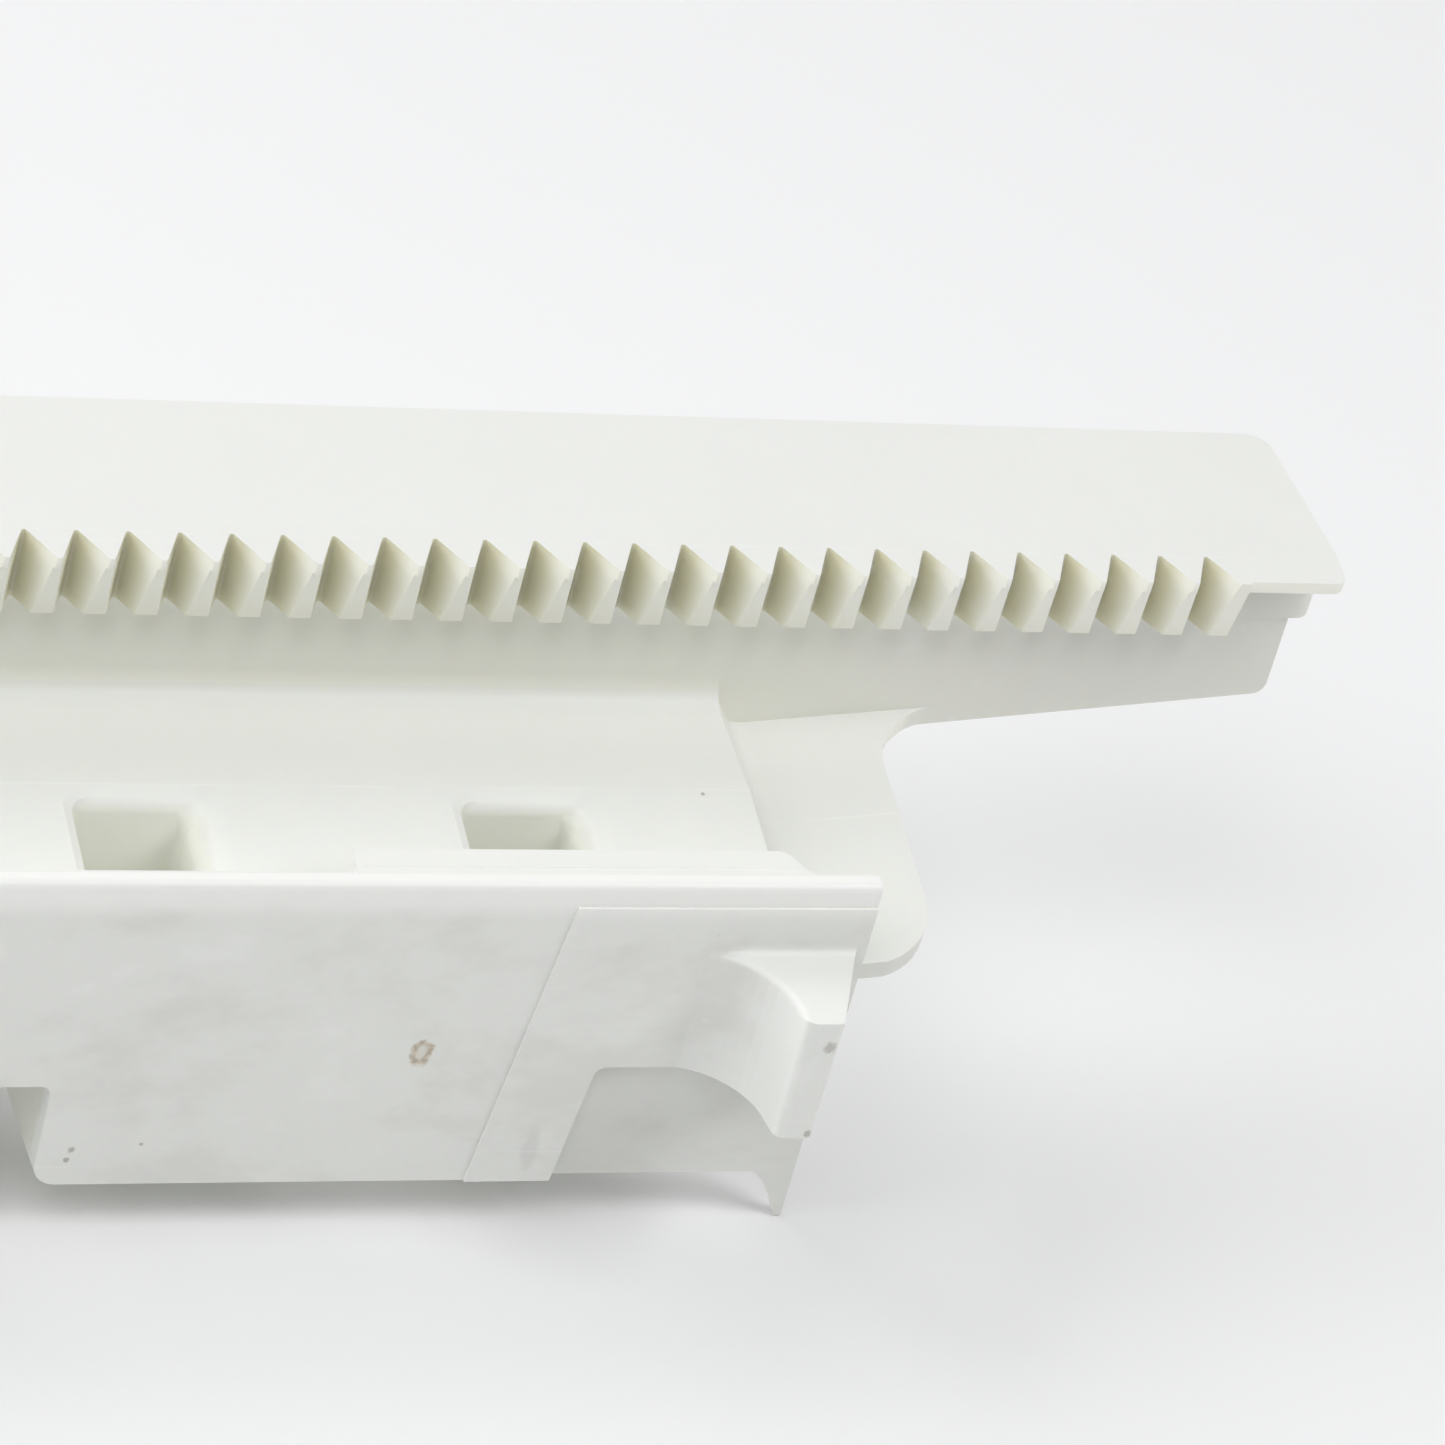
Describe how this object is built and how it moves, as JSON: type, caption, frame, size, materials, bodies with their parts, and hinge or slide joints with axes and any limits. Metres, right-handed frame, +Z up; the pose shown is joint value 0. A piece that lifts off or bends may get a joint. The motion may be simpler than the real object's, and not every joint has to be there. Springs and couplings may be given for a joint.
{
  "type": "rack and pinion drawer slide rail",
  "caption": "Toothed drawer rail with a guide channel and a carriage that rolls a pinion and its cross shaft along the rack.",
  "frame": {"origin": "centre of the assembly in plan, on the plane that its feet and screw posts stand on", "axes": "+X along the rack towards the open end of travel, +Y from the tooth tips to the back of the cover plate, +Z up along the pinion axis"},
  "size_m": [0.42, 0.08, 0.1035],
  "materials": {
    "rail_plastic": "satin injection-moulded white ABS, slightly warm",
    "stop_plastic": "satin moulded white plastic",
    "buffer_rubber": "soft dark grey elastomer",
    "carriage_plastic": "light grey glass-filled nylon, fine texture",
    "acetal": "natural acetal, smooth",
    "bush_plastic": "dark grey self-lubricating plastic",
    "zinc_steel": "zinc-plated sheet steel",
    "screw_steel": "bright zinc-plated steel",
    "shaft_steel": "drawn bright steel bar",
    "spring_steel": "phosphated spring steel"
  },
  "bodies": {
    "rail": {"rack_rail": "rail_plastic", "rear_stop": "stop_plastic", "stop_buffer": "buffer_rubber"},
    "carriage": {"carriage_base": "carriage_plastic", "floor_glides": "acetal", "side_glides": "acetal", "roller_pins": "screw_steel", "bearing_bridge": "zinc_steel", "bridge_screws": "screw_steel", "lower_bush": "bush_plastic", "upper_bush": "bush_plastic"},
    "pinion_shaft": {"pinion": "acetal", "cross_shaft": "shaft_steel", "drive_pin": "shaft_steel", "thrust_washer_lower": "bush_plastic", "thrust_washer_upper": "bush_plastic", "shaft_washer": "zinc_steel", "retaining_clip": "spring_steel"},
    "left_roller": {"guide_roller_left": "acetal"},
    "right_roller": {"guide_roller_right": "acetal"}
  },
  "joints": [
    {"name": "carriage_travel", "type": "slide", "parent": "rail", "child": "carriage", "axis": [1, 0, 0], "range_m": [0, 0.24]},
    {"name": "pinion_spin", "type": "hinge", "parent": "carriage", "child": "pinion_shaft", "pos_m": [-0.15398, -0.00581, 0.0735], "axis": [0, 0, 1], "range_deg": [-5, 925]},
    {"name": "left_roller_spin", "type": "hinge", "parent": "carriage", "child": "left_roller", "pos_m": [-0.18397, 0.00846, 0.057], "axis": [0, 0, 1], "range_deg": [-10, 2760]},
    {"name": "right_roller_spin", "type": "hinge", "parent": "carriage", "child": "right_roller", "pos_m": [-0.12398, 0.00846, 0.057], "axis": [0, 0, 1], "range_deg": [-10, 2760]}
  ],
  "couplings": [
    {"joint": "pinion_spin", "follows": "carriage_travel", "rad_per_m": 66.667},
    {"joint": "left_roller_spin", "follows": "carriage_travel", "rad_per_m": 200},
    {"joint": "right_roller_spin", "follows": "carriage_travel", "rad_per_m": 200}
  ]
}
